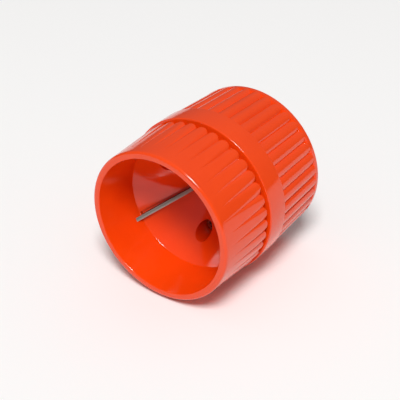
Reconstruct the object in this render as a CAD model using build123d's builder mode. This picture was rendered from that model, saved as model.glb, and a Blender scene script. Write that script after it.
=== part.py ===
from build123d import *
import math
import os

# Hand tool that takes the burr off the inside and outside of cut pipe, in millimetres, +Z up. It lies
# on its side, its axis along +Y. The mouth for the outside of a pipe faces -Y and the band rests on Z = 0.
# "at" is a distance along the axis from the front mouth. Angles are counted from straight up, towards +X.

# Outside form
length = 51.4
band_radius = 26.0
band_start = 21.6
band_end = 29.5
band_edge_chamfer = 0.25
front_rim_radius = 24.6
front_crest_radius = 25.4
front_groove_radius = 24.75
nose_at = 21.0
nose_chamfer = 0.35
front_rim_rounding = 0.9
rear_crest_radius = 25.8
rear_rim_radius = 24.75
rear_groove_depth = 0.65
rear_groove_end = 49.7
rear_groove_run_out = 0.7
rear_rib_inset = 0.4
rear_rim_rounding = 1.0
rear_rim_step = 0.03
rib_count = 38

# Opening left between the rounded noses of two front ribs
nose_gap_length = 1.9
nose_tip_half_width = 0.22
nose_gap_floor_radius = 23.6

# Front cup and funnel
mouth_radius = 22.35
ledge_radius = 21.5
ledge_at = 15.2
funnel_angle = 44.5
funnel_floor_radius = 3.0
wall = 2.0
overlap = 1.0

# Rear cup and cone
rear_mouth_radius = 22.3
rear_floor_at = 32.4
rear_floor_radius = 21.8
cone_angle = 48.0
cone_tip_radius = 2.0

# Joint between the shells
spigot_radius = 23.4
spigot_inner_radius = 21.3
spigot_end = 28.4
shoulder_at = 28.6
shell_clearance = 0.1

# Blades, each standing a little beside the tool's axis
blade_angles = (353.6, 113.6, 233.6)
blade_offset = 1.8
blade_thickness = 1.2
blade_clearance = 0.05
blade_proud_front = 1.6
blade_proud_rear = 1.0
blade_inner_radius = 0.6
blade_tip_at = 50.8
blade_wall_seat = 21.95
blade_tab_radius = 22.7
blade_tab_start = 16.5
blade_rear_corner_radius = 21.3
web_thickness = 4.4
web_joint_at = 30.3
web_clearance = 0.5
chip_relief_width = 0.9
chip_relief_depth = 0.8

# Screws
screw_angles = (58.0, 178.0, 298.0)
screw_circle_radius = 13.6
screw_head_radius = 2.5
screw_head_height = 1.9
screw_head_chamfer = 0.6
screw_core_radius = 1.0
screw_length = 6.0
screw_tip_chamfer = 0.4
screw_recess_length = 2.9
screw_recess_width = 0.75
screw_recess_depth = 1.2
counterbore_radius = 2.7
counterbore_floor_at = 29.5
screw_clearance_radius = 1.4
pilot_radius = 1.05
pilot_end_at = 35.9
front_boss_radius = 4.3
rear_boss_radius = 3.3
boss_joint_at = 31.0

# Worked out from the values above
pitch = 360 / rib_count
funnel_slope = math.tan(math.radians(funnel_angle))
cone_slope = math.tan(math.radians(cone_angle))
funnel_wall_along = wall / math.sin(math.radians(funnel_angle))
cone_wall_along = wall / math.sin(math.radians(cone_angle))
front_proud_along = blade_proud_front / math.sin(math.radians(funnel_angle))
rear_proud_along = blade_proud_rear / math.sin(math.radians(cone_angle))
rear_crest_slope = (rear_rim_radius - rear_crest_radius) / (length - band_end)
rear_groove_radius = rear_crest_radius - rear_groove_depth
rib_half_width = rear_groove_radius * math.sin(math.radians(pitch / 2))
rib_height = rear_crest_radius - rear_groove_radius * math.cos(math.radians(pitch / 2))
rear_rib_rounding = (rib_half_width**2 + rib_height**2) / (2 * rib_height)


def through(angle):
    """Plane through the tool's axis: x is the distance from the mouth, y the radius."""
    a = math.radians(angle)
    origin = (0, -length / 2, band_radius)
    return Plane(origin, x_dir=(0, 1, 0), z_dir=(math.cos(a), 0, -math.sin(a)))


def across(at):
    """Plane square to the axis, looking back from the mouth, with y straight up."""
    return Plane((0, at - length / 2, band_radius), x_dir=(-1, 0, 0), z_dir=(0, 1, 0))


def over(angle, at, radius):
    """Plane that touches the barrel: x runs along the axis and z points outwards."""
    a = math.radians(angle)
    origin = (radius * math.sin(a), at - length / 2, band_radius + radius * math.cos(a))
    return Plane(origin, x_dir=(0, 1, 0), z_dir=(math.sin(a), 0, math.cos(a)))


def along_rib(angle, at):
    """Plane square to a rear rib's own axis, which leans in towards the rim as the barrel narrows."""
    a = math.radians(angle)
    lean = math.atan(rear_crest_slope)
    radius = rear_crest_radius + rear_crest_slope * (at - band_end) - rear_rib_rounding / math.cos(lean)
    origin = (radius * math.sin(a), at - length / 2, band_radius + radius * math.cos(a))
    z_dir = (math.sin(lean) * math.sin(a), math.cos(lean), math.sin(lean) * math.cos(a))
    return Plane(origin, x_dir=(math.cos(a), 0, -math.sin(a)), z_dir=z_dir)


def funnel_at(radius, deeper=0.0):
    """Where the funnel has this radius, moved deeper along the axis."""
    return ledge_at + (ledge_radius - radius) / funnel_slope + deeper


def funnel_radius(at, deeper=0.0):
    return ledge_radius - (at - deeper - ledge_at) * funnel_slope


def cone_at(radius, deeper=0.0):
    """Where the blades' rear edges have this radius, moved towards the mouth."""
    return blade_tip_at - (radius - blade_inner_radius) / cone_slope - deeper


def cone_radius(at, deeper=0.0):
    return blade_inner_radius + (blade_tip_at - deeper - at) * cone_slope


def at_angle(angle, radius):
    """A point of a sketch across the axis."""
    a = math.radians(angle)
    return (-radius * math.sin(a), radius * math.cos(a))


def profile(corners):
    """Closed outline from rows of distance, radius and rounding of that corner."""
    points = [(at, radius) for at, radius, rounding in corners]
    FilletPolyline(*points, radius=[rounding for at, radius, rounding in corners], close=True)


def screw_circles(radius):
    """A circle on each screw's axis."""
    with PolarLocations(screw_circle_radius, len(screw_angles), start_angle=90 + screw_angles[0]):
        Circle(radius)


axis = Axis((0, 0, band_radius), (0, 1, 0))
blade_planes = [through(a).offset(blade_offset) for a in blade_angles]
os.makedirs("parts", exist_ok=True)

# The blade's outline, shared by the blades and the slots that hold them
blade_front_start = funnel_at(blade_wall_seat, -front_proud_along)
blade_outline = [
    (blade_front_start, blade_wall_seat),
    (funnel_at(blade_inner_radius, -front_proud_along), blade_inner_radius),
    (blade_tip_at, blade_inner_radius),
    (cone_at(blade_rear_corner_radius), blade_rear_corner_radius),
    (spigot_end, blade_rear_corner_radius),
    (spigot_end, blade_tab_radius),
    (blade_tab_start, blade_tab_radius),
    (blade_tab_start, blade_wall_seat),
]

# Front shell: ribbed barrel, drafted cup, funnel, spigot, blade webs and screw bosses in one moulding
funnel_floor_at = funnel_at(funnel_floor_radius)
funnel_back_at = funnel_floor_at + wall
with BuildPart() as front_shell:
    with BuildSketch(through(0)):
        with BuildLine():
            corners = [
                (0, 0, 0),
                (0, front_rim_radius, front_rim_rounding),
                (nose_at - nose_chamfer, front_crest_radius, 0),
                (nose_at, front_crest_radius - nose_chamfer, 0),
                (nose_at, spigot_radius, 0),
                (spigot_end, spigot_radius, 0),
                (spigot_end, spigot_inner_radius, 0),
                (funnel_at(spigot_inner_radius, funnel_wall_along), spigot_inner_radius, 0),
                (funnel_back_at, funnel_radius(funnel_back_at, funnel_wall_along), 0),
                (funnel_back_at, 0, 0),
            ]
            profile(corners)
        make_face()
    revolve(axis=axis)
    # Straight ribs that run out towards the rim, where the barrel narrows
    with BuildSketch(across(0)):
        with BuildLine():
            for k in range(rib_count):
                ThreePointArc(
                    at_angle(k * pitch, front_groove_radius),
                    at_angle((k + 0.5) * pitch, front_crest_radius),
                    at_angle((k + 1) * pitch, front_groove_radius),
                )
        make_face()
    extrude(amount=length, mode=Mode.INTERSECT)
    # Round noses: the openings between the ribs' ends
    half_gap = front_crest_radius * math.sin(math.radians(pitch / 2))
    side = half_gap - nose_tip_half_width
    bend = 1 - math.sqrt(0.5)
    nose_planes = [over(k * pitch, nose_at, band_radius) for k in range(rib_count)]
    with BuildSketch(*nose_planes):
        with BuildLine():
            ThreePointArc((-nose_gap_length, 0), (-bend * nose_gap_length, bend * half_gap), (0, side))
            Polyline((0, side), (shell_clearance, side), (shell_clearance, -side), (0, -side))
            ThreePointArc((0, -side), (-bend * nose_gap_length, -bend * half_gap), (-nose_gap_length, 0))
        make_face()
    extrude(amount=nose_gap_floor_radius - band_radius, mode=Mode.SUBTRACT)
    # Webs that carry the blades and bosses for the screws, in the space behind the funnel
    web_start = ledge_at + wall
    with BuildSketch(*blade_planes):
        Polygon(
            (web_start, funnel_radius(web_start, funnel_wall_along / 2)),
            (web_start, spigot_inner_radius + shell_clearance),
            (spigot_end, spigot_inner_radius + shell_clearance),
            (spigot_end, spigot_inner_radius - web_clearance),
            (web_joint_at, spigot_inner_radius - web_clearance),
            (web_joint_at, funnel_radius(web_joint_at, funnel_wall_along / 2)),
            align=None,
        )
    extrude(amount=web_thickness / 2, both=True)
    boss_start = funnel_at(screw_circle_radius + front_boss_radius)
    with BuildSketch(across(boss_start)):
        screw_circles(front_boss_radius)
    extrude(amount=boss_joint_at - boss_start)
    # The cup and the funnel, open to the front
    with BuildSketch(through(0)):
        Polygon(
            (0, 0),
            (0, mouth_radius),
            (ledge_at, ledge_radius),
            (funnel_floor_at, funnel_floor_radius),
            (funnel_floor_at, 0),
            align=None,
        )
    revolve(axis=axis, mode=Mode.SUBTRACT)
    inner_rim = front_shell.edges().filter_by(GeomType.CIRCLE).group_by(Axis.Y)[0].sort_by(SortBy.RADIUS)[0]
    fillet(inner_rim, front_rim_rounding)
    # Blade slots, each with a chip relief on one side, and the stepped screw holes
    with BuildSketch(*blade_planes):
        with BuildLine():
            Polyline(*blade_outline, close=True)
        make_face()
        offset(amount=blade_clearance, kind=Kind.INTERSECTION)
    extrude(amount=blade_thickness / 2 + blade_clearance, both=True, mode=Mode.SUBTRACT)
    with BuildSketch(*blade_planes):
        Polygon(
            (ledge_at, ledge_radius - chip_relief_depth),
            (ledge_at, ledge_radius),
            (funnel_at(ledge_radius, chip_relief_depth), ledge_radius),
            (funnel_at(funnel_floor_radius, chip_relief_depth), funnel_floor_radius),
            (funnel_floor_at, funnel_floor_radius - chip_relief_depth),
            align=None,
        )
    extrude(amount=blade_thickness / 2 + chip_relief_width, mode=Mode.SUBTRACT)
    with BuildSketch(across(ledge_at)):
        screw_circles(counterbore_radius)
    extrude(amount=counterbore_floor_at - ledge_at, mode=Mode.SUBTRACT)
    with BuildSketch(across(ledge_at)):
        screw_circles(screw_clearance_radius)
    extrude(amount=length, mode=Mode.SUBTRACT)
front_shell.part.label = "front_shell"
export_step(front_shell.part, "parts/front_shell.step")

# Rear shell: band, ribbed barrel, rear cup and cone, with the webs and bosses that meet the front shell's
rib_start = band_end - rear_rib_inset
rib_stop = rear_groove_end + rear_rib_inset
cavity_end = rear_floor_at - wall
cone_inside = rear_proud_along + cone_wall_along
cap_at = cone_at(cone_tip_radius, cone_inside)
cone_front_at = cone_at(cone_tip_radius, rear_proud_along)
with BuildPart() as rear_shell:
    # Ribs: a ring of leaning round bars that merge into each other
    rib_planes = [along_rib((k + 0.5) * pitch, rib_start) for k in range(rib_count)]
    with BuildSketch(*rib_planes):
        Circle(rear_rib_rounding)
    extrude(amount=rib_stop - rib_start)
    with BuildSketch(across(0)):
        Circle(spigot_radius)
    extrude(amount=length, mode=Mode.SUBTRACT)
    # Webs and bosses inside, cut back to clear the front shell's funnel
    with BuildSketch(*blade_planes):
        Polygon(
            (web_joint_at + shell_clearance, 0),
            (web_joint_at + shell_clearance, cone_radius(cavity_end, cone_inside) + overlap),
            (cavity_end + overlap, cone_radius(cavity_end, cone_inside) + overlap),
            (cap_at + overlap, cone_tip_radius),
            (cap_at + overlap, 0),
            align=None,
        )
    extrude(amount=web_thickness / 2, both=True)
    with BuildSketch(across(boss_joint_at)):
        screw_circles(rear_boss_radius)
    extrude(amount=cone_at(screw_circle_radius, cone_inside) + overlap - boss_joint_at)
    with BuildSketch(through(0)):
        Polygon(
            (ledge_at, 0),
            (ledge_at, funnel_radius(ledge_at, funnel_wall_along + shell_clearance)),
            (funnel_back_at + shell_clearance, funnel_radius(funnel_back_at, funnel_wall_along)),
            (funnel_back_at + shell_clearance, 0),
            align=None,
        )
    revolve(axis=axis, mode=Mode.SUBTRACT)
    # Band, inner barrel, rim, cup floor and cone
    run_out_start = rear_groove_end - rear_groove_run_out
    start_crest = rear_crest_radius + rear_crest_slope * (run_out_start - band_end)
    end_crest = rear_crest_radius + rear_crest_slope * (rear_groove_end - band_end)
    with BuildSketch(through(0)):
        with BuildLine():
            corners = [
                (band_start, spigot_radius + shell_clearance, 0),
                (band_start, band_radius - band_edge_chamfer, 0),
                (band_start + band_edge_chamfer, band_radius, 0),
                (band_end, band_radius, 0),
                (band_end, rear_groove_radius - overlap / 2, 0),
                (run_out_start, start_crest - rear_groove_depth - rear_rim_step, 0),
                (rear_groove_end, end_crest + rear_rim_step, 0),
                (length, rear_rim_radius, rear_rim_rounding),
                (length, rear_mouth_radius, rear_rim_rounding),
                (rear_floor_at, rear_floor_radius, 0),
                (rear_floor_at, cone_radius(rear_floor_at, rear_proud_along), 0),
                (cone_front_at, cone_tip_radius, 0),
                (cone_front_at, 0, 0),
                (cap_at, 0, 0),
                (cap_at, cone_tip_radius, 0),
                (cavity_end, cone_radius(cavity_end, cone_inside), 0),
                (cavity_end, spigot_inner_radius, 0),
                (shoulder_at, spigot_inner_radius, 0),
                (shoulder_at, spigot_radius + shell_clearance, 0),
            ]
            profile(corners)
        make_face()
    revolve(axis=axis)
    # Blade slots and pilot holes
    with BuildSketch(*blade_planes):
        with BuildLine():
            Polyline(*blade_outline, close=True)
        make_face()
        offset(amount=blade_clearance, kind=Kind.INTERSECTION)
    extrude(amount=blade_thickness / 2 + blade_clearance, both=True, mode=Mode.SUBTRACT)
    with BuildSketch(across(spigot_end)):
        screw_circles(pilot_radius)
    extrude(amount=pilot_end_at - spigot_end, mode=Mode.SUBTRACT)
rear_shell.part.label = "rear_shell"
export_step(rear_shell.part, "parts/rear_shell.step")

# Blades: flat steel plates on edge, with a tab that the shells clamp and a cutting edge on both sides
for number, plane in enumerate(blade_planes, 1):
    with BuildPart() as blade:
        with BuildSketch(plane):
            with BuildLine():
                Polyline(*blade_outline, close=True)
            make_face()
        extrude(amount=blade_thickness / 2, both=True)
    blade.part.label = f"blade_{number}"
    export_step(blade.part, f"parts/blade_{number}.step")

# Screws: pan heads with a cross recess, threads left plain
screw_tip_at = counterbore_floor_at + screw_length
for number, angle in enumerate(screw_angles, 1):
    a = math.radians(angle)
    screw_axis = Axis(
        (screw_circle_radius * math.sin(a), 0, band_radius + screw_circle_radius * math.cos(a)), (0, 1, 0)
    )
    with BuildPart() as screw:
        with BuildSketch(through(angle)):
            head_at = counterbore_floor_at - screw_head_height
            outline = [
                (head_at, 0),
                (head_at, screw_head_radius - screw_head_chamfer),
                (head_at + screw_head_chamfer, screw_head_radius),
                (counterbore_floor_at, screw_head_radius),
                (counterbore_floor_at, screw_core_radius),
                (screw_tip_at - screw_tip_chamfer, screw_core_radius),
                (screw_tip_at, screw_core_radius - screw_tip_chamfer),
                (screw_tip_at, 0),
            ]
            Polygon(*[(at, screw_circle_radius + radius) for at, radius in outline], align=None)
        revolve(axis=screw_axis)
        with BuildSketch(across(head_at)):
            with PolarLocations(screw_circle_radius, 1, start_angle=90 + angle):
                Rectangle(screw_recess_length, screw_recess_width)
                Rectangle(screw_recess_width, screw_recess_length)
        extrude(amount=screw_recess_depth, mode=Mode.SUBTRACT)
    screw.part.label = f"screw_{number}"
    export_step(screw.part, f"parts/screw_{number}.step")
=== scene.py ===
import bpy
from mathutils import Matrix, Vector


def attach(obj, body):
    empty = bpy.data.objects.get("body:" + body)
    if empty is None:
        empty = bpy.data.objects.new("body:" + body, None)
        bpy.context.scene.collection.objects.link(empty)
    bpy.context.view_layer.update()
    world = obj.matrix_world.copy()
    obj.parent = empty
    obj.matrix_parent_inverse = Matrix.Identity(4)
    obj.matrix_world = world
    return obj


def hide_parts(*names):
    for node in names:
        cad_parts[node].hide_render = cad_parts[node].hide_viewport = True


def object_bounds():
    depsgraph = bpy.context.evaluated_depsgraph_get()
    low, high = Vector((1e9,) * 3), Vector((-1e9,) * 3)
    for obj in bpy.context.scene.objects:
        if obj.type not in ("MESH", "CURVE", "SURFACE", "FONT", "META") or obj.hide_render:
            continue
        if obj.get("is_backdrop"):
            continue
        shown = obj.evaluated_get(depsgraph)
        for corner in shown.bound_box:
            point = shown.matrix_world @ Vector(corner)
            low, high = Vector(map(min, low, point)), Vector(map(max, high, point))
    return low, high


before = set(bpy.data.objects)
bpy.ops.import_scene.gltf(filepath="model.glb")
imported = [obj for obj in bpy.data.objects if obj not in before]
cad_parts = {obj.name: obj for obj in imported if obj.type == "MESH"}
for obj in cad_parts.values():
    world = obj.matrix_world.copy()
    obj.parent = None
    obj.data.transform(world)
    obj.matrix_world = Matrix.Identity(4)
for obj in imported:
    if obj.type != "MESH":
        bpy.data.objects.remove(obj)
low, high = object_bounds()

from math import acos, cos, pi, radians, sin, sqrt, tan

import bmesh
import bpy
from mathutils import Matrix, Vector

# Floor: a sheet of smooth white paper. The tool lies on it, touching along its band, and the sheet runs out
# of the picture on all sides. It is matt and shows a soft shadow.
paper_white = "#F9F8F7"
paper_size = 3.0


def linear(code):
    """Linear colour of an sRGB hex value."""
    values = [int(code[start:start + 2], 16) / 255 for start in (1, 3, 5)]
    return [v / 12.92 if v <= 0.04045 else ((v + 0.055) / 1.055) ** 2.4 for v in values] + [1.0]


def add(tree, kind, inputs, **settings):
    """A node with its settings and, for each input's name or number, a value or a linked output."""
    node = tree.nodes.new(kind)
    for name, value in settings.items():
        setattr(node, name, value)
    for key, value in inputs.items():
        if isinstance(value, bpy.types.NodeSocket):
            tree.links.new(value, node.inputs[key])
        else:
            node.inputs[key].default_value = value
    return node


paper = bpy.data.materials.new("smooth_white_paper")
paper.use_nodes = True
tree = paper.node_tree
tree.nodes.clear()
place = add(tree, "ShaderNodeTexCoord", {}).outputs["Object"]
fibre = add(tree, "ShaderNodeTexNoise", {"Vector": place, "Scale": 700.0, "Detail": 2.0})
relief = add(tree, "ShaderNodeBump", {"Height": fibre.outputs[0], "Strength": 0.03, "Distance": 0.0002})
matt = add(tree, "ShaderNodeBsdfPrincipled",
           {"Base Color": linear(paper_white), "Roughness": 0.9, "Specular IOR Level": 0.2,
            "Normal": relief.outputs[0]})
add(tree, "ShaderNodeOutputMaterial", {"Surface": matt.outputs[0]})
sheet = bpy.data.meshes.new("paper_sheet")
half_sheet = paper_size / 2
sheet.from_pydata([(-half_sheet, -half_sheet, low.z), (half_sheet, -half_sheet, low.z),
                   (half_sheet, half_sheet, low.z), (-half_sheet, half_sheet, low.z)], [], [(0, 1, 2, 3)])
sheet.materials.append(paper)
floor = bpy.data.objects.new("paper_sheet", sheet)
bpy.context.scene.collection.objects.link(floor)
floor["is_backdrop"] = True

# Front moulding: the cup for the outside of a pipe, in glossy orange-red plastic from an injection mould.
# Its barrel has straight ribs with round backs, which run out towards the rim and end in noses at the band.
# The cup's wall meets a funnel at a ledge; the funnel is slit for the blades and bored for the screws.
length = (high.y - low.y) * 1000
band_radius = (high.x - low.x) * 500
ribs = 38
half_pitch = pi / ribs
front_rim_radius = 24.6
front_crest_radius = 25.4
front_groove_radius = 24.75
front_rim_rounding = 0.9
front_inner_rounding = 0.4
nose_at = 21.0
nose_length = 1.3
nose_edge_rounding = 0.5
nose_end_share = 0.1
nose_gap_floor = 23.6
spigot_radius = 23.4
spigot_inner_radius = 21.3
spigot_end = 28.4
mouth_radius = 22.35
ledge_radius = 21.5
ledge_at = 15.2
ledge_rounding = 0.5
ledge_lap = 0.2
funnel_angle = radians(44.5)
funnel_slope = tan(funnel_angle)
funnel_floor_radius = 3.0
wall = 2.0
wall_along = wall / sin(funnel_angle)
run_out_softness = 0.1
across_steps = 8
shell_steps = 192
arc_step = radians(11)
smooth_below = radians(32)


def spot(at, radius, angle):
    """The point this far behind the mouth, at a radius and an angle from straight up to +X, in metres."""
    return (radius * sin(angle) / 1000, (at - length / 2) / 1000, (band_radius + radius * cos(angle)) / 1000)


def rounded(corners):
    """Outline through rows of distance, radius and rounding, with an arc at each rounded corner."""
    outline = []
    for number, (at, radius, rounding) in enumerate(corners):
        corner = Vector((at, radius))
        if rounding == 0:
            outline.append((at, radius))
            continue
        before = (Vector(corners[number - 1][:2]) - corner).normalized()
        after = (Vector(corners[(number + 1) % len(corners)][:2]) - corner).normalized()
        opening = acos(max(-1.0, min(1.0, before.dot(after))))
        centre = corner + (before + after).normalized() * rounding / sin(opening / 2)
        setback = rounding / tan(opening / 2)
        first = corner + before * setback - centre
        last = corner + after * setback - centre
        steps = max(2, round((pi - opening) / arc_step))
        for step in range(steps + 1):
            arm = first.slerp(last, step / steps).normalized() * rounding
            outline.append(tuple(centre + arm))
    return outline


def skin(name, columns, closed):
    """Mesh through columns of points, each column a closed loop round the wall's section."""
    rows = len(columns[0])
    points = [spot(*point) for column in columns for point in column]
    faces = []
    for number in range(len(columns) if closed else len(columns) - 1):
        here = number * rows
        there = (number + 1) % len(columns) * rows
        for row in range(rows):
            below = (row + 1) % rows
            faces.append((here + row, here + below, there + below, there + row))
    mesh = bpy.data.meshes.new(name)
    mesh.from_pydata(points, [], faces)
    return mesh


def turned(name, corners, steps):
    """Solid of revolution about the tool's axis."""
    outline = rounded(corners)
    columns = [[(at, radius, 2 * pi * k / steps) for at, radius in outline] for k in range(steps)]
    return sealed(skin(name, columns, True))


def sealed(mesh):
    """The mesh with its doubles merged and its faces turned outwards."""
    work = bmesh.new()
    work.from_mesh(mesh)
    bmesh.ops.remove_doubles(work, verts=work.verts, dist=0.000001)
    bmesh.ops.dissolve_degenerate(work, edges=work.edges, dist=0.0000005)
    bmesh.ops.recalc_face_normals(work, faces=work.faces)
    work.to_mesh(mesh)
    work.free()
    return mesh


def shown(name, mesh):
    """An object in the scene for this mesh."""
    piece = bpy.data.objects.new(name, mesh)
    bpy.context.scene.collection.objects.link(piece)
    return piece


def baked(piece):
    """The object's mesh with its modifiers applied; the object is taken away."""
    bpy.context.view_layer.update()
    depsgraph = bpy.context.evaluated_depsgraph_get()
    mesh = bpy.data.meshes.new_from_object(piece.evaluated_get(depsgraph))
    bpy.data.objects.remove(piece)
    return mesh


def carved(base, tools):
    """The base mesh after each tool mesh is cut from it."""
    piece = shown("work", base)
    helpers = []
    for tool in tools:
        helper = shown("tool", tool)
        step = piece.modifiers.new("step", "BOOLEAN")
        step.operation = "DIFFERENCE"
        step.solver = "EXACT"
        step.object = helper
        helpers.append(helper)
    mesh = baked(piece)
    for helper in helpers:
        bpy.data.objects.remove(helper)
    return mesh


def round_back(angle, crest, groove):
    """Radius of a rib's round back at an angle from its middle, between two grooves."""
    half_width = groove * sin(half_pitch)
    rise = crest - groove * cos(half_pitch)
    bend = (half_width ** 2 + rise ** 2) / (2 * rise)
    centre = crest - bend
    return centre * cos(angle) + sqrt(bend ** 2 - (centre * sin(angle)) ** 2)


def soft_min(a, b, softness):
    """The smaller of two radii, blended where they are nearly alike."""
    share = max(0.0, min(1.0, 0.5 + 0.5 * (b - a) / softness))
    return b + (a - b) * share - softness * share * (1 - share)


def front_barrel(at, angle):
    """Radius of the front barrel: ribs of one height, cut off by a barrel that narrows towards the rim."""
    cone = front_rim_radius + (front_crest_radius - front_rim_radius) * at / nose_at
    return soft_min(cone, round_back(angle, front_crest_radius, front_groove_radius), run_out_softness)


def funnel_radius(at, deeper=0.0):
    return ledge_radius - (at - deeper - ledge_at) * funnel_slope


def funnel_at(radius, deeper=0.0):
    return ledge_at + (ledge_radius - radius) / funnel_slope + deeper


nose_start = nose_at - nose_length
rim_end = 2.0
cup_section = rounded([
    (rim_end, front_rim_radius + (front_crest_radius - front_rim_radius) * rim_end / nose_at, 0),
    (0, front_rim_radius, front_rim_rounding),
    (0, mouth_radius, front_inner_rounding),
    (ledge_at, ledge_radius, ledge_rounding),
    (ledge_at + ledge_lap, funnel_radius(ledge_at + ledge_lap), 0),
    (funnel_at(spigot_inner_radius, wall_along), ledge_radius + wall / 2, 0),
    (nose_at + wall, spigot_inner_radius, 0),
    (nose_at + wall, spigot_radius, 0),
    (nose_at, spigot_radius, 0),
])[:-1]
long_row = 0.75
short_row = 0.4
barrel_rows = [nose_start - step * long_row for step in range(14)]
barrel_rows += [barrel_rows[-1] - step * short_row for step in range(1, 17)]
columns = []
for side, kind in [(-1, "gap"), (-1, "foot")] + [
        (sin(pi / 2 * step / across_steps), "top") for step in range(-across_steps, across_steps + 1)
] + [(1, "foot"), (1, "gap")]:
    turn = half_pitch * side
    column = [(at, radius, turn + half_pitch) for at, radius in cup_section]
    column.append((nose_at, spigot_radius, turn + half_pitch))
    narrow = turn if kind == "gap" else turn * nose_end_share
    column.append((nose_at, nose_gap_floor, narrow + half_pitch))
    for step in range(6, -1, -1):
        swing = radians(15) * step
        at = nose_start + nose_length * sin(swing)
        width = nose_end_share + (1 - nose_end_share) * cos(swing)
        offset = abs(side) * width
        outward = sqrt(sin(swing) ** 2 + (max(0, offset - nose_end_share) / (1 - nose_end_share)) ** 2)
        inset = nose_length * max(0, 1 - outward)
        rounding = nose_edge_rounding * min(1, 2 * sin(swing))
        drop = rounding - sqrt(rounding ** 2 - (rounding - min(inset, rounding)) ** 2)
        radius = front_barrel(at, turn * width) - drop
        if kind != "top":
            radius = nose_gap_floor
        column.append((at, radius, (turn if kind == "gap" else turn * width) + half_pitch))
    column += [(at, front_barrel(at, turn), turn + half_pitch) for at in barrel_rows]
    columns.append(column)
one_rib = skin("front_rib", columns, False)

# Both barrels are one rib's share of the wall, repeated round the axis.
ring = bpy.data.node_groups.new("ribs_all_round", "GeometryNodeTree")
ring.interface.new_socket("Geometry", in_out="OUTPUT", socket_type="NodeSocketGeometry")
ring.interface.new_socket("Geometry", in_out="INPUT", socket_type="NodeSocketGeometry")
rib_input = ring.interface.new_socket("Ribs", in_out="INPUT", socket_type="NodeSocketInt")
height_input = ring.interface.new_socket("Axis height", in_out="INPUT", socket_type="NodeSocketFloat")
plastic_input = ring.interface.new_socket("Plastic", in_out="INPUT", socket_type="NodeSocketMaterial")
given = add(ring, "NodeGroupInput", {}).outputs
part = add(ring, "GeometryNodeGeometryToInstance", {"Geometry": given["Geometry"]})
copies = add(ring, "GeometryNodeDuplicateElements", {"Geometry": part.outputs[0], "Amount": given["Ribs"]},
             domain="INSTANCE")
pitch = add(ring, "ShaderNodeMath", {0: 2 * pi, 1: given["Ribs"]}, operation="DIVIDE")
rib_turn = add(ring, "ShaderNodeMath", {0: copies.outputs[1], 1: pitch.outputs[0]}, operation="MULTIPLY")
about_axis = add(ring, "ShaderNodeCombineXYZ", {"Y": rib_turn.outputs[0]})
pivot = add(ring, "ShaderNodeCombineXYZ", {"Z": given["Axis height"]})
spread = add(ring, "GeometryNodeRotateInstances",
             {"Instances": copies.outputs[0], "Rotation": about_axis.outputs[0],
              "Pivot Point": pivot.outputs[0], "Local Space": False})
solid = add(ring, "GeometryNodeRealizeInstances", {"Geometry": spread.outputs[0]})
joined = add(ring, "GeometryNodeMergeByDistance", {"Geometry": solid.outputs[0], "Distance": 0.000001})
coloured = add(ring, "GeometryNodeSetMaterial", {"Geometry": joined.outputs[0], "Material": given["Plastic"]})
add(ring, "NodeGroupOutput", {"Geometry": coloured.outputs[0]})

# Injection-moulded ABS: saturated orange-red, with a polished skin that gives broad soft reflections, a faint
# unevenness of the moulded surface, and hardly any wear.
abs_red = "#F2480A"
abs_deep = "#E84006"
abs_plastic = bpy.data.materials.new("moulded_abs")
abs_plastic.use_nodes = True
tree = abs_plastic.node_tree
tree.nodes.clear()
place = add(tree, "ShaderNodeTexCoord", {}).outputs["Object"]
flow = add(tree, "ShaderNodeTexNoise", {"Vector": place, "Scale": 90.0, "Detail": 3.0, "Roughness": 0.5})
tint = add(tree, "ShaderNodeMix", {0: flow.outputs[0], 6: linear(abs_red), 7: linear(abs_deep)},
           data_type="RGBA")
skin_noise = add(tree, "ShaderNodeTexNoise", {"Vector": place, "Scale": 420.0, "Detail": 3.0})
gloss = add(tree, "ShaderNodeMapRange", {"Value": skin_noise.outputs[0], "To Min": 0.08, "To Max": 0.13})
peel = add(tree, "ShaderNodeBump", {"Height": skin_noise.outputs[0], "Strength": 0.05, "Distance": 0.0003})
grain = add(tree, "ShaderNodeTexNoise", {"Vector": place, "Scale": 4000.0, "Detail": 2.0})
fine = add(tree, "ShaderNodeBump", {"Height": grain.outputs[0], "Strength": 0.03, "Distance": 0.00004,
                                    "Normal": peel.outputs[0]})
polished = add(tree, "ShaderNodeBsdfPrincipled",
               {"Base Color": tint.outputs[2], "Roughness": gloss.outputs[0], "IOR": 1.53,
                "Normal": fine.outputs[0]})
add(tree, "ShaderNodeOutputMaterial", {"Surface": polished.outputs[0]})


def all_round(mesh):
    """The ribbed tube made from one rib's share of it."""
    piece = shown("ribs", mesh)
    repeat = piece.modifiers.new("repeat", "NODES")
    repeat.node_group = ring
    repeat[rib_input.identifier] = ribs
    repeat[height_input.identifier] = band_radius / 1000
    repeat[plastic_input.identifier] = abs_plastic
    return sealed(baked(piece))


def welded(name, meshes, material, crease):
    """One piece from several closed meshes, smooth but for its corners."""
    work = bmesh.new()
    for mesh in meshes:
        work.from_mesh(mesh)
    mesh = bpy.data.meshes.new(name)
    work.to_mesh(mesh)
    work.free()
    mesh.materials.clear()
    mesh.materials.append(material)
    for face in mesh.polygons:
        face.material_index = 0
    mesh.shade_smooth()
    mesh.set_sharp_from_angle(angle=crease)
    return shown(name, mesh)


blade_angles = [radians(a) for a in (353.6, 113.6, 233.6)]
blade_offset = 1.8
blade_thickness = 1.2
blade_clearance = 0.05
chip_relief_width = 0.9
chip_relief_depth = 0.8
screw_angles = [radians(a) for a in (58, 178, 298)]
screw_circle = 13.6
counterbore_radius = 2.7
counterbore_floor_at = 29.5
boss_radius = 4.3
boss_end = 31.0
sleeve_lap = 0.03


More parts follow.
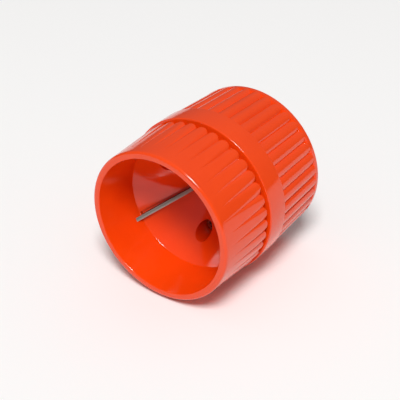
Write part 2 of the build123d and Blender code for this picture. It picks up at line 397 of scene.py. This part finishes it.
def plate(name, outline, angle, near, far):
    """Flat plate with this outline, standing beside the axis as a blade does, between two offsets."""
    sideways = Vector((cos(angle), 0, -sin(angle))) / 1000
    work = bmesh.new()
    rows = [[work.verts.new(Vector(spot(at, radius, angle)) + sideways * (blade_offset + offset))
             for at, radius in outline]
            for offset in (near, far)]
    work.faces.new(rows[0])
    work.faces.new(rows[1])
    for number in range(len(outline)):
        after = (number + 1) % len(outline)
        work.faces.new((rows[0][number], rows[0][after], rows[1][after], rows[1][number]))
    bmesh.ops.recalc_face_normals(work, faces=work.faces)
    mesh = bpy.data.meshes.new(name)
    work.to_mesh(mesh)
    work.free()
    return mesh


def pillar(name, corners, angle, steps=48):
    """Solid of revolution about the axis of the screw at this angle."""
    mesh = turned(name, corners, steps)
    centre = Vector(spot(0, screw_circle, angle)) - Vector(spot(0, 0, angle))
    mesh.transform(Matrix.Translation(centre))
    return mesh


funnel_floor_at = funnel_at(funnel_floor_radius)
funnel_start = ledge_at + ledge_lap
funnel = turned("funnel", [
    (funnel_start, funnel_radius(funnel_start), 0),
    (funnel_floor_at, funnel_floor_radius, ledge_rounding),
    (funnel_floor_at, 0, 0),
    (funnel_floor_at + wall, 0, 0),
    (funnel_floor_at + wall, funnel_radius(funnel_floor_at + wall, wall_along), 0),
    (funnel_at(ledge_radius, wall_along), ledge_radius, 0),
], shell_steps)
hollow = turned("hollow", [
    (ledge_at, 0, 0),
    (ledge_at, funnel_radius(ledge_at, sleeve_lap), 0),
    (funnel_floor_at + sleeve_lap, funnel_floor_radius, 0),
    (funnel_floor_at + sleeve_lap, 0, 0),
], shell_steps)
sleeves = [carved(pillar("sleeve", [
    (funnel_at(screw_circle + boss_radius), counterbore_radius - sleeve_lap, 0),
    (funnel_at(screw_circle + boss_radius), boss_radius, 0),
    (boss_end, boss_radius, 0),
    (boss_end, 0, 0),
    (counterbore_floor_at, 0, 0),
    (counterbore_floor_at, counterbore_radius - sleeve_lap, 0),
], a), [hollow]) for a in screw_angles]
bores = [pillar("bore", [(ledge_at, 0, 0), (ledge_at, counterbore_radius, 0),
                         (boss_end, counterbore_radius, 0), (boss_end, 0, 0)], a)
         for a in screw_angles]
slot_half = blade_thickness / 2 + blade_clearance
slot_inner = 0.1
slots = []
for angle in blade_angles:
    slots.append(plate("slot", [
        (funnel_at(ledge_radius, -1), ledge_radius),
        (funnel_at(slot_inner, -1), slot_inner),
        (funnel_at(slot_inner, wall_along + 1), slot_inner),
        (funnel_at(ledge_radius, wall_along + 1), ledge_radius),
    ], angle, -slot_half, slot_half))
    slots.append(plate("relief", [
        (ledge_at, ledge_radius - chip_relief_depth),
        (ledge_at, ledge_radius),
        (funnel_at(ledge_radius, chip_relief_depth), ledge_radius),
        (funnel_at(funnel_floor_radius, chip_relief_depth), funnel_floor_radius),
        (funnel_floor_at, funnel_floor_radius - chip_relief_depth),
    ], angle, 0, blade_thickness / 2 + chip_relief_width))
funnel = carved(funnel, bores + slots)
front = welded("front_moulding", [all_round(one_rib), funnel] + sleeves, abs_plastic, smooth_below)
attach(front, "root")
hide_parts("front_shell")

# Rear moulding: the smooth band that the hand turns, ribs that end bluntly before the rear rim, and a second
# cup with a cone for the inside of a pipe. It is moulded in the same plastic and takes the front's spigot.
band_start = 21.6
band_end = 29.5
band_front_rounding = 0.35
band_rear_rounding = 0.18
rear_crest_radius = 25.8
rear_rim_radius = 24.75
rear_groove_depth = 0.8
rear_groove_end = 49.7
rear_run_out = 0.3
run_out_row = 0.05
rear_rim_rounding = 0.6
rear_inner_rounding = 0.4
rear_mouth_radius = 22.3
rear_floor_at = 32.4
rear_floor_radius = 21.8
rear_floor_rounding = 0.6
socket_clearance = 0.1
shoulder_at = 28.6
cone_angle = radians(48)
cone_slope = tan(cone_angle)
cone_root_rounding = 0.8
cone_tip_radius = 2.0
cone_tip_rounding = 0.6
blade_inner_radius = 0.6
blade_tip_at = 50.8
blade_proud_rear = 1.0
rear_proud_along = blade_proud_rear / sin(cone_angle)


def cone_radius(at, deeper=0.0):
    return blade_inner_radius + (blade_tip_at - deeper - at) * cone_slope


def cone_at(radius, deeper=0.0):
    return blade_tip_at - (radius - blade_inner_radius) / cone_slope - deeper


def rear_barrel(at, angle):
    """Radius of the rear barrel: ribs that follow its taper and end in a short steep slope near the rim."""
    crest = rear_crest_radius + (rear_rim_radius - rear_crest_radius) * (at - band_end) / (length - band_end)
    slope = (at - rear_groove_end) / rear_run_out
    end = crest + rear_groove_depth * slope
    return min(crest, -soft_min(-round_back(angle, crest, crest - rear_groove_depth), -end, run_out_softness))


rim_start = rear_groove_end + 0.1
rear_section = rounded([
    (rim_start, rear_barrel(rim_start, 0), 0),
    (length, rear_rim_radius, rear_rim_rounding),
    (length, rear_mouth_radius, rear_inner_rounding),
    (rear_floor_at, rear_floor_radius, rear_floor_rounding),
    (rear_floor_at, rear_floor_radius - 1.2, 0),
    (rear_floor_at - wall / 2, rear_floor_radius - 1.2, 0),
    (rear_floor_at - wall, spigot_inner_radius, 0),
    (shoulder_at, spigot_inner_radius, 0),
    (shoulder_at, spigot_radius + socket_clearance, 0),
    (band_start, spigot_radius + socket_clearance, 0),
    (band_start, band_radius, band_front_rounding),
    (band_end, band_radius, band_rear_rounding),
    (band_end, rear_crest_radius - rear_groove_depth - wall, 0),
])[:-1]
rear_rows = [band_end, 33.0, 37.0, 41.0, 45.0, 48.0, 49.0]
rear_rows += [rear_groove_end - (10 - step) * run_out_row for step in range(12)]
columns = []
for step in range(-across_steps, across_steps + 1):
    turn = half_pitch * sin(pi / 2 * step / across_steps)
    column = [(at, radius, turn + half_pitch) for at, radius in rear_section]
    column += [(at, rear_barrel(at, turn), turn + half_pitch) for at in rear_rows]
    columns.append(column)
one_rib = skin("rear_rib", columns, False)
cone_front_at = cone_at(cone_tip_radius, rear_proud_along)
cone = turned("cone", [
    (rear_floor_at, rear_floor_radius - 0.9, 0),
    (rear_floor_at, cone_radius(rear_floor_at, rear_proud_along), cone_root_rounding),
    (cone_front_at, cone_tip_radius, cone_tip_rounding),
    (cone_front_at, 0, 0),
    (cone_front_at - wall, 0, 0),
    (rear_floor_at - wall, cone_radius(rear_floor_at, rear_proud_along), 0),
    (rear_floor_at - wall, rear_floor_radius - 0.9, 0),
], shell_steps)
slot_foot_at = rear_floor_at - wall - 1
slots = [plate("slot", [(slot_foot_at, slot_inner), (cone_at(slot_inner), slot_inner),
                        (cone_at(rear_floor_radius), rear_floor_radius), (slot_foot_at, rear_floor_radius)],
               a, -slot_half, slot_half) for a in blade_angles]
cone = carved(cone, slots)
rear = welded("rear_moulding", [all_round(one_rib), cone], abs_plastic, smooth_below)
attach(rear, "root")
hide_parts("rear_shell")

# Blades: three plates of hardened steel on edge, ground flat, so fine lines run along them. The mouldings
# clamp them. Their long edges stand proud of the funnel in front and of the cone behind, and cut the pipe.
blade_wall_seat = 21.95
blade_tab_radius = 22.7
blade_tab_start = 16.5
blade_rear_corner = 21.3
blade_proud_front = 1.6
front_proud_along = blade_proud_front / sin(funnel_angle)
edge_break = 0.05
steel_grey = "#A8A29B"
ground_steel = bpy.data.materials.new("ground_tool_steel")
ground_steel.use_nodes = True
tree = ground_steel.node_tree
tree.nodes.clear()
place = add(tree, "ShaderNodeTexCoord", {}).outputs["Object"]
along = add(tree, "ShaderNodeMapping", {"Vector": place, "Scale": (1.0, 0.03, 1.0)})
lines = add(tree, "ShaderNodeTexNoise", {"Vector": along.outputs[0], "Scale": 6000.0, "Detail": 2.0})
sheen = add(tree, "ShaderNodeMapRange", {"Value": lines.outputs[0], "To Min": 0.28, "To Max": 0.45})
scratch = add(tree, "ShaderNodeBump", {"Height": lines.outputs[0], "Strength": 0.12, "Distance": 0.00002})
metal = add(tree, "ShaderNodeBsdfPrincipled",
            {"Base Color": linear(steel_grey), "Metallic": 1.0, "Roughness": sheen.outputs[0],
             "Normal": scratch.outputs[0]})
add(tree, "ShaderNodeOutputMaterial", {"Surface": metal.outputs[0]})
for number, angle in enumerate(blade_angles, 1):
    mesh = plate(f"blade_plate_{number}", [
        (funnel_at(blade_wall_seat, -front_proud_along), blade_wall_seat),
        (funnel_at(blade_inner_radius, -front_proud_along), blade_inner_radius),
        (blade_tip_at, blade_inner_radius),
        (cone_at(blade_rear_corner), blade_rear_corner),
        (spigot_end, blade_rear_corner),
        (spigot_end, blade_tab_radius),
        (blade_tab_start, blade_tab_radius),
        (blade_tab_start, blade_wall_seat),
    ], angle, -blade_thickness / 2, blade_thickness / 2)
    piece = shown(mesh.name, mesh)
    ease = piece.modifiers.new("edge_break", "BEVEL")
    ease.width = edge_break / 1000
    ease.segments = 2
    blade = welded(f"blade_plate_{number}", [baked(piece)], ground_steel, radians(25))
    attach(blade, "root")
    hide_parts(f"blade_{number}")

# Screws: small pan-head screws of zinc-plated steel with a cross recess. They clamp the mouldings together
# from the bottom of their bores in the funnel, and cut their own thread in the rear moulding.
head_radius = 2.5
head_height = 1.9
core_radius = 1.0
shank_length = 6.0
recess_length = 2.9
recess_width = 0.75
recess_depth = 1.2
recess_lead = 0.5
recess_end_share = 0.45
recess_turn = 0.3
zinc_grey = "#B4B1AC"
zinc = bpy.data.materials.new("zinc_plated_steel")
zinc.use_nodes = True
tree = zinc.node_tree
tree.nodes.clear()
place = add(tree, "ShaderNodeTexCoord", {}).outputs["Object"]
cloud = add(tree, "ShaderNodeTexNoise", {"Vector": place, "Scale": 900.0, "Detail": 4.0})
sheen = add(tree, "ShaderNodeMapRange", {"Value": cloud.outputs[0], "To Min": 0.2, "To Max": 0.36})
dull = add(tree, "ShaderNodeBump", {"Height": cloud.outputs[0], "Strength": 0.03, "Distance": 0.00005})
metal = add(tree, "ShaderNodeBsdfPrincipled",
            {"Base Color": linear(zinc_grey), "Metallic": 1.0, "Roughness": sheen.outputs[0],
             "Normal": dull.outputs[0]})
add(tree, "ShaderNodeOutputMaterial", {"Surface": metal.outputs[0]})
head_at = counterbore_floor_at - head_height
for number, angle in enumerate(screw_angles, 1):
    body = pillar("screw", [
        (head_at, 0, 0),
        (head_at, head_radius, head_height / 2),
        (counterbore_floor_at, head_radius, 0.1),
        (counterbore_floor_at, core_radius, 0.1),
        (counterbore_floor_at + shank_length, core_radius, core_radius / 2),
        (counterbore_floor_at + shank_length, 0, 0),
    ], angle, 64)
    recess = []
    for cross in (0, pi / 2):
        work = bmesh.new()
        bmesh.ops.create_cube(work, size=1)
        for corner in work.verts:
            taper = recess_end_share if corner.co.y > 0 else 1
            corner.co.x *= recess_length * taper
            corner.co.z *= recess_width
            corner.co.y = head_at + (recess_depth if corner.co.y > 0 else -recess_lead)
        bmesh.ops.rotate(work, verts=work.verts, matrix=Matrix.Rotation(cross + recess_turn, 3, "Y"))
        for corner in work.verts:
            corner.co = corner.co / 1000 + Vector(spot(0, screw_circle, angle))
        arm = bpy.data.meshes.new("arm")
        work.to_mesh(arm)
        work.free()
        recess.append(arm)
    screw = welded(f"pan_head_screw_{number}", [carved(body, recess)], zinc, smooth_below)
    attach(screw, "root")
    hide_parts(f"screw_{number}")

# Camera: a long lens, looking down on the mouth of the cup from its right.
azimuth = radians(35.6)
elevation = radians(32.85)
distance = 0.3129
right = Vector((cos(azimuth), sin(azimuth), 0))
back = Vector((sin(azimuth) * cos(elevation), -cos(azimuth) * cos(elevation), sin(elevation)))
up = back.cross(right)
aim = Vector(spot(0, 0, 0)) + right * 0.01262 + up * 0.00835
lens = bpy.data.cameras.new("long_lens")
lens.sensor_width = 36
lens.lens = 95.7
lens.clip_start = 0.01
camera = bpy.data.objects.new("long_lens", lens)
towards_view = Matrix((right, up, back)).transposed().to_4x4()
camera.matrix_world = Matrix.Translation(aim + back * distance) @ towards_view
bpy.context.scene.collection.objects.link(camera)
bpy.context.scene.camera = camera

# Light: a large soft box far above the camera, which looks into the cup, and a dim pale room that is brighter
# overhead than at its walls.
lamp_azimuth = radians(33)
lamp_elevation = radians(57)
lamp_distance = 4.0
room_wall_strength = 0.12
room_ceiling_strength = 0.36
world = bpy.data.worlds.new("pale_room")
world.use_nodes = True
bpy.context.scene.world = world
tree = world.node_tree
tree.nodes.clear()
looking = add(tree, "ShaderNodeTexCoord", {}).outputs["Generated"]
height = add(tree, "ShaderNodeSeparateXYZ", {"Vector": looking})
glow = add(tree, "ShaderNodeMapRange", {"Value": height.outputs["Z"], "To Min": room_wall_strength,
                                        "To Max": room_ceiling_strength})
room = add(tree, "ShaderNodeBackground", {"Color": linear("#FFFFFF"), "Strength": glow.outputs[0]})
add(tree, "ShaderNodeOutputWorld", {"Surface": room.outputs[0]})
light = bpy.data.lights.new("soft_box", "AREA")
light.shape = "SQUARE"
light.size = 1.1
light.energy = 140
towards = Vector((sin(lamp_azimuth) * cos(lamp_elevation), -cos(lamp_azimuth) * cos(lamp_elevation),
                  sin(lamp_elevation)))
lamp = bpy.data.objects.new("soft_box", light)
lamp.location = towards * lamp_distance
lamp.rotation_euler = (-towards).to_track_quat("-Z", "Y").to_euler()
bpy.context.scene.collection.objects.link(lamp)
bpy.context.scene.view_settings.view_transform = "Standard"

low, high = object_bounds()
